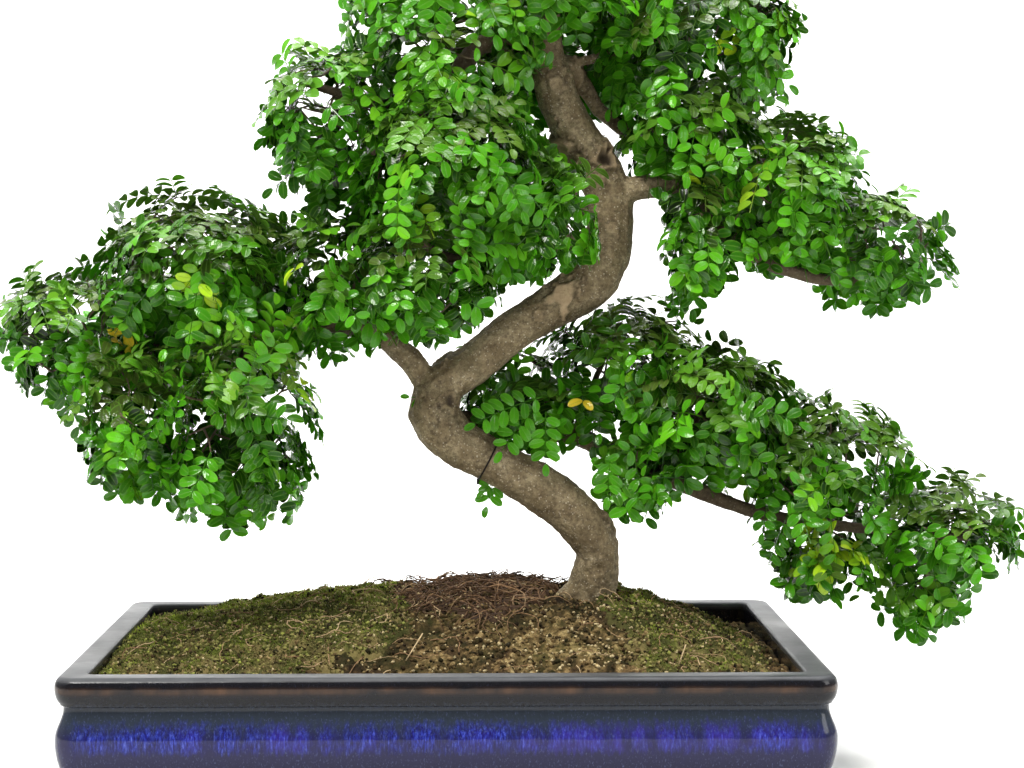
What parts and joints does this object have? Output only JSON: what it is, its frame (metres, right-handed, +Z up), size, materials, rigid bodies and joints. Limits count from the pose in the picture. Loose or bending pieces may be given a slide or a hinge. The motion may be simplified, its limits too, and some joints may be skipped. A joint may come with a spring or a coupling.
{
  "type": "bonsai tree in a glazed tray",
  "caption": "S-curved bonsai tree with pinnate leaves in layered pads, standing in mossy soil in a shallow blue-glazed rectangular tray with corner feet.",
  "frame": {"origin": "on the surface the tray stands on, under the middle of the whole object's box", "axes": "+X along the tray's long side towards the low right branch, +Y towards the back, +Z up"},
  "size_m": [0.5764, 0.288, 0.4813],
  "materials": {
    "glaze": "glossy near-black blue glaze with a cobalt band on the belly",
    "screen_plastic": "matt black plastic mesh",
    "grit": "coarse rough grit",
    "soil": "crumbly organic potting soil with tan grains",
    "moss": "short dense moss",
    "root_fibre": "matted fibrous roots",
    "bark": "grey-tan bark with pale specks",
    "wire": "dark weathered wire",
    "leaf": "glossy green leaflets"
  },
  "bodies": {
    "root": {"branch_back": "bark", "branch_left_low": "bark", "branch_left_mid": "bark", "branch_left_top": "bark", "branch_right_low": "bark", "branch_right_mid": "bark", "branch_right_top": "bark", "drain_screen_left": "screen_plastic", "drain_screen_right": "screen_plastic", "drainage_grit": "grit", "foliage_back": "leaf", "foliage_front": "leaf", "foliage_left_low_back": "leaf", "foliage_left_low_crown": "leaf", "foliage_left_low_front": "leaf", "foliage_left_low_inner": "leaf", "foliage_left_low_outer": "leaf", "foliage_left_low_skirt": "leaf", "foliage_left_mid": "leaf", "foliage_left_mid_low": "leaf", "foliage_left_top_crown": "leaf", "foliage_left_top_outer": "leaf", "foliage_right_low_back": "leaf", "foliage_right_low_crown": "leaf", "foliage_right_low_front": "leaf", "foliage_right_low_hanging": "leaf", "foliage_right_low_inner": "leaf", "foliage_right_low_mid": "leaf", "foliage_right_low_outer": "leaf", "foliage_right_low_tip": "leaf", "foliage_right_low_under": "leaf", "foliage_right_mid": "leaf", "foliage_right_mid_back": "leaf", "foliage_right_mid_crown": "leaf", "foliage_right_mid_low": "leaf", "foliage_right_mid_outer": "leaf", "foliage_top_back": "leaf", "foliage_top_crown": "leaf", "foliage_top_left": "leaf", "foliage_top_right": "leaf", "foliage_trunk_sprig": "leaf", "moss_left": "moss", "moss_right": "moss", "pot": "glaze", "root_mat": "root_fibre", "soil": "soil", "training_wire": "wire", "trunk": "bark"}
  },
  "joints": []
}
